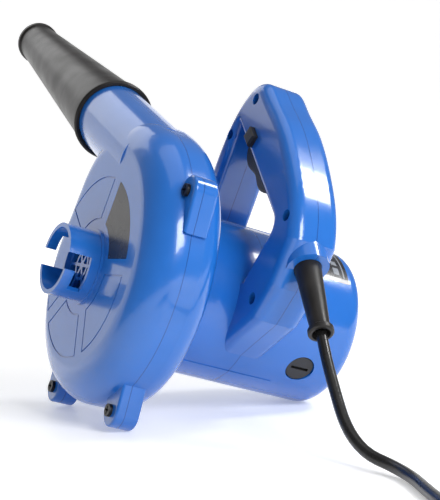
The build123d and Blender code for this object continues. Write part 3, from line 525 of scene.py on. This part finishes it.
@dataclass
class RatingPlate:
    """The printed foil round the motor housing, with generic rules for print."""

    radius: float = 0.0477
    thick: float = 0.0003
    along: tuple[float, float] = (0.126, 0.151)
    turn: tuple[float, float] = (5.0, 53.0)
    steps: int = 24
    lift: float = 0.00005

    def build(self) -> bpy.types.Object:
        """Make the plate as a curved strip with its own map.

        Returns:
            The plate.
        """
        bm = bmesh.new()
        layer = bm.loops.layers.uv.new("plate")
        low = self.radius + self.lift
        first = [bm.verts.new((x, 0.0, low)) for x in self.along]
        edge = bm.edges.new(first)
        turn = math.radians(self.turn[1] - self.turn[0])
        bmesh.ops.rotate(bm, verts=first, cent=(0, 0, 0),
                         matrix=Matrix.Rotation(math.radians(self.turn[0]), 3, "X"))
        bmesh.ops.spin(bm, geom=[*first, edge], axis=(1, 0, 0), cent=(0, 0, 0), angle=turn,
                       steps=self.steps)
        bmesh.ops.solidify(bm, geom=bm.faces[:], thickness=-(self.thick - self.lift))
        for face in bm.faces:
            for loop in face.loops:
                x, y, z = loop.vert.co
                round_ = math.degrees(math.atan2(-y, z))
                loop[layer].uv = ((round_ - self.turn[0]) / (self.turn[1] - self.turn[0]),
                                  (x - self.along[0]) / (self.along[1] - self.along[0]))
        plate = piece_from(bm, "rating_plate", Body.HOUSING, PLATE, STAND)
        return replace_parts(plate, "rating_label")


# ---------------------------------------------------------------- the lead
@dataclass
class MainsLead:
    """The round mains lead, from the entry in the handle to the plug."""

    diameter: float = 0.0062
    exit: Point = (0.02474, -0.17670, 0.09017)
    # the guard holds the lead straight over the first three points
    route: tuple[Point, ...] = (
        (0.02840, -0.16443, 0.10281), (0.01539, -0.20808, 0.05785), (0.01051, -0.22444, 0.04099),
        (-0.0020, -0.2680, 0.0095), (0.0080, -0.3030, 0.0031), (-0.0090, -0.3500, 0.0031),
        (-0.0210, -0.3970, 0.0031), (-0.0445, -0.4390, 0.0034))
    coil_at: tuple[float, float] = (-0.088, -0.462)
    coil_radius: float = 0.0345
    coil_height: float = 0.0104
    coil_from: float = -6.2
    turns: float = 5.4
    points_in_turn: int = 20
    strand_ring: float = 0.00625
    tail: tuple[Point, ...] = ((-0.1325, -0.4605, 0.0065), (-0.1363, -0.4388, 0.0065))

    def coil_points(self) -> list[Point]:
        """The coil's control points: six strands round an open middle, one on the next.

        Returns:
            The points, in order from the machine's side.
        """
        ease = 0.75 + 0.25 * math.cos(math.tau / self.points_in_turn)
        count = round(self.turns * self.points_in_turn)
        points = []
        for k in range(count + 1):
            done = k / self.points_in_turn
            ring = math.radians(-60.0 * (1.0 + done))
            radius = (self.coil_radius + self.strand_ring * math.cos(ring)) / ease
            at = math.radians(self.coil_from - 360.0 * done)
            points.append((self.coil_at[0] + radius * math.cos(at),
                           self.coil_at[1] + radius * math.sin(at),
                           self.coil_height + self.strand_ring * math.sin(ring)))
        return points

    def build(self, with_pieces: list[object]) -> bpy.types.Object:
        """Lay the lead as one smooth curve.

        Args:
            with_pieces: what is on the lead; not used.

        Returns:
            The lead.
        """
        points = [*self.route, *self.coil_points(), *self.tail]
        curve = bpy.data.curves.new("mains_lead", "CURVE")
        curve.dimensions = "3D"
        curve.bevel_depth = self.diameter / 2
        curve.bevel_resolution = 5
        curve.resolution_u = 8
        curve.use_fill_caps = True
        spline = curve.splines.new("NURBS")
        spline.points.add(len(points) - 1)
        for point, place in zip(spline.points, points):
            point.co = (*place, 1.0)
        spline.order_u = 3
        spline.use_endpoint_u = True
        curve.materials.append(material_of(LEAD_BLACK))
        lead = bpy.data.objects.new("mains_lead", curve)
        bpy.context.scene.collection.objects.link(lead)
        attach(lead, Body.HOUSING.value)
        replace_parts(lead, "cord", "cord_coil", "cord_tail")
        log.info("laid the mains lead, %d points", len(points))
        return lead


@dataclass
class LeadTie:
    """The strap round the coil, a thin band with a folded tail."""

    at: tuple[float, float] = (-0.088, -0.462)
    coil_radius: float = 0.0345
    height: float = 0.0104
    inner: float = 0.00965
    thick: float = 0.0006
    width: float = 0.0090
    bow: float = 0.0001
    tail: Point = (0.0081, 0.0095, 0.0007)
    tail_at: Point = (0.0, -0.0005, 0.01075)

    def build(self) -> bpy.types.Object:
        """Make the band and its tail.

        Returns:
            The tie.
        """
        half = self.width / 2
        outer = self.inner + self.thick
        bm = spun([(-half, self.inner), (half, self.inner), (half, outer),
                   (half * 0.4, outer + self.bow), (-half * 0.4, outer + self.bow),
                   (-half, outer)], 48)
        tail = bmesh.ops.create_cube(bm, size=1.0)["verts"]
        bmesh.ops.scale(bm, vec=self.tail, verts=tail)
        bmesh.ops.translate(bm, vec=self.tail_at, verts=tail)
        edges = list({e for v in tail for e in v.link_edges})
        bmesh.ops.bevel(bm, geom=edges, offset=0.00025, segments=2, profile=0.5, affect="EDGES",
                        material=-1)
        place = Matrix.Translation((self.at[0], self.at[1] - self.coil_radius, self.height))
        tie = piece_from(bm, "lead_tie", Body.HOUSING, BUTTON_BLACK, place)
        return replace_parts(tie, "cord_tie")


@dataclass
class Plug:
    """The moulded two-pin plug, with finger ridges and a ribbed neck."""

    at: Point = (-0.1363, -0.4388, 0.0065)
    turn: float = 99.93
    long: float = 0.036
    wide: float = 0.027
    deep: float = 0.0128
    neck: float = 0.0135
    cuts: tuple[float, ...] = (0.018, 0.0205, 0.023, 0.0255, 0.028, 0.0305)
    waists: tuple[float, ...] = (0.0205, 0.0255, 0.0305)
    collar: tuple[tuple[float, float], ...] = (
        (0.0002, 0.0033), (0.0002, 0.0047), (0.0022, 0.0051), (0.0030, 0.0043), (0.0040, 0.0052),
        (0.0058, 0.0054), (0.0066, 0.0044), (0.0076, 0.0055), (0.0094, 0.0057), (0.0102, 0.0046),
        (0.0112, 0.0058), (0.0150, 0.0060), (0.0150, 0.0033))

    def build(self) -> bpy.types.Object:
        """Make the plug's body.

        Returns:
            The body.
        """
        place = Matrix.Translation(self.at) @ Matrix.Rotation(math.radians(self.turn), 4, "Z")
        bm = bmesh.new()
        body = bmesh.ops.create_cube(bm, size=1.0)["verts"]
        bmesh.ops.scale(bm, vec=(self.long - self.neck, self.wide, self.deep), verts=body)
        bmesh.ops.translate(bm, vec=((self.long + self.neck) / 2, 0, 0), verts=body)
        for x in self.cuts:
            bmesh.ops.bisect_plane(bm, geom=bm.verts[:] + bm.edges[:] + bm.faces[:],
                                   plane_co=(x, 0, 0), plane_no=(1, 0, 0))
        back = [v for v in bm.verts if v.co.x < self.neck + 0.001]
        bmesh.ops.scale(bm, vec=(1, 0.62, 0.86), verts=back)
        for x in self.waists:
            waist = [v for v in bm.verts if abs(v.co.x - x) < 0.0004]
            bmesh.ops.scale(bm, vec=(1, 0.94, 1), verts=waist)
        rims = [e for e in bm.edges if abs((e.verts[0].co - e.verts[1].co).x) > 0.0005]
        ends = [e for e in bm.edges if all(v.co.x > self.long - 0.0005 for v in e.verts)]
        bmesh.ops.bevel(bm, geom=list({*rims, *ends}), offset=0.0022, segments=4, profile=0.5,
                        affect="EDGES", material=-1, clamp_overlap=True)
        collar = spun(list(self.collar), 40)
        mesh = bpy.data.meshes.new("neck_work")
        collar.to_mesh(mesh)
        collar.free()
        bm.from_mesh(mesh)
        bpy.data.meshes.remove(mesh)
        plug = piece_from(bm, "plug_moulding", Body.HOUSING, LEAD_BLACK, place)
        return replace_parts(plug, "plug_body")


# ---------------------------------------------------------------- the studio
@dataclass
class SoftLight:
    """A square soft light."""

    name: str
    at: Point
    aim: Point
    size: float
    power: float

    def build(self) -> None:
        """Hang the light and point it."""
        lamp = bpy.data.lights.new(self.name, "AREA")
        lamp.energy = self.power
        lamp.size = self.size
        item = bpy.data.objects.new(self.name, lamp)
        item.location = self.at
        way = Vector(self.aim) - Vector(self.at)
        item.rotation_euler = way.to_track_quat("-Z", "Y").to_euler()
        bpy.context.scene.collection.objects.link(item)


@dataclass
class Studio:
    """Pale sweep, soft lights and the camera."""

    eye: Point = (-0.3815, -0.8950, 0.1591)
    forward: Point = (0.4393, 0.8955, -0.0708)
    right: Point = (0.8977, -0.4406, -0.0021)
    lens: float = 108.0
    sensor: float = 36.0
    room_light: float = 0.24
    # floor glow by distance from the machine: from, to, glow near, glow far; the weaker glow near
    # the machine is painted shadow
    floor_glow_and_painted_shadow: tuple[float, float, float, float] = (0.12, 0.85, 0.30, 0.66)
    lights: tuple[SoftLight, ...] = (
        SoftLight("key", (0.30, -1.5, 0.95), (0, 0, 0.10), 0.7, 20.0),
        SoftLight("side", (0.95, -0.35, 1.10), (0, 0, 0.10), 0.34, 8.0),
        SoftLight("top", (0.2, 0.0, 1.6), (0, 0, 0.05), 1.1, 3.0),
        SoftLight("back", (-0.2, 1.3, 1.1), (0, 0, 0.1), 0.9, 4.0))

    def build_camera(self) -> None:
        """Set the camera up."""
        data = bpy.data.cameras.new("camera")
        data.lens = self.lens
        data.sensor_width = self.sensor
        data.clip_start = 0.01
        data.clip_end = 50.0
        camera = bpy.data.objects.new("camera", data)
        ahead = Vector(self.forward).normalized()
        right = Vector(self.right)
        right = (right - ahead * right.dot(ahead)).normalized()
        up = right.cross(ahead)
        turn = Matrix((right, up, -ahead)).transposed().to_4x4()
        camera.matrix_world = Matrix.Translation(self.eye) @ turn
        bpy.context.scene.collection.objects.link(camera)
        bpy.context.scene.camera = camera

    def build_sweep(self) -> None:
        """Lay the pale floor, curved up at the far side; it glows less near the machine, a painted
        shadow round it.
        """
        bm = bmesh.new()
        near = [bm.verts.new((x, -4.0, 0.0)) for x in (-6.0, 6.0)]
        edge = bm.edges.new(near)
        made = bmesh.ops.extrude_edge_only(bm, edges=[edge])["geom"]
        line = [v for v in made if isinstance(v, bmesh.types.BMVert)]
        bmesh.ops.translate(bm, vec=(0, 6.5, 0), verts=line)
        edges = [e for e in made if isinstance(e, bmesh.types.BMEdge)]
        bmesh.ops.spin(bm, geom=line + edges, axis=(1, 0, 0), cent=(0, 2.5, 2.0),
                       angle=math.radians(85), steps=24)
        bmesh.ops.remove_doubles(bm, verts=bm.verts, dist=1e-5)
        bmesh.ops.recalc_face_normals(bm, faces=bm.faces)
        mesh = bpy.data.meshes.new("floor")
        bm.to_mesh(mesh)
        bm.free()
        for face in mesh.polygons:
            face.use_smooth = True
        floor = bpy.data.objects.new("floor", mesh)
        bpy.context.scene.collection.objects.link(floor)
        n = Nodes("pale_floor")
        n.shader.inputs["Specular IOR Level"].default_value = 0.25
        # painted shadow: the floor glows less near the machine and more far off, and is evenly
        # bright beyond
        n.shader.inputs["Emission Color"].default_value = (1.0, 1.0, 1.0, 1.0)
        away = n.add("ShaderNodeVectorMath", operation="LENGTH")
        n.link(n.object, away.inputs[0])
        n.link(n.spread(away.outputs["Value"], *self.floor_glow_and_painted_shadow),
               n.shader.inputs["Emission Strength"])
        n.paint(n.blend(n.noise(3.0), (0.93, 0.93, 0.935), (0.95, 0.95, 0.95)))
        n.link(n.spread(n.noise(6.0), 0.3, 0.7, 0.35, 0.45), n.shader.inputs["Roughness"])
        mesh.materials.append(n.material)

    def build_light(self) -> None:
        """Light the room and hang the lamps."""
        scene = bpy.context.scene
        scene.view_settings.view_transform = "Standard"
        world = bpy.data.worlds.new("room")
        scene.world = world
        world.use_nodes = True
        back = world.node_tree.nodes["Background"]
        back.inputs["Color"].default_value = (1.0, 1.0, 1.0, 1.0)
        back.inputs["Strength"].default_value = self.room_light
        for light in self.lights:
            light.build()

    def build(self) -> None:
        """Set the whole studio up."""
        self.build_camera()
        self.build_sweep()
        self.build_light()
        log.info("studio ready")


def write_sizes() -> None:
    """Update the view layer."""
    bpy.context.view_layer.update()


def main() -> None:
    """Build the studio, the lead and every finish."""
    logging.basicConfig(level=logging.INFO, format="%(name)s: %(message)s")
    Studio().build()
    tie = LeadTie().build()
    plug = Plug().build()
    MainsLead().build([plug, tie, "plug_pins", "cord_guard"])
    RatingPlate().build()
    Machine().dress_all()
    write_sizes()


if __name__ == "__main__":
    main()
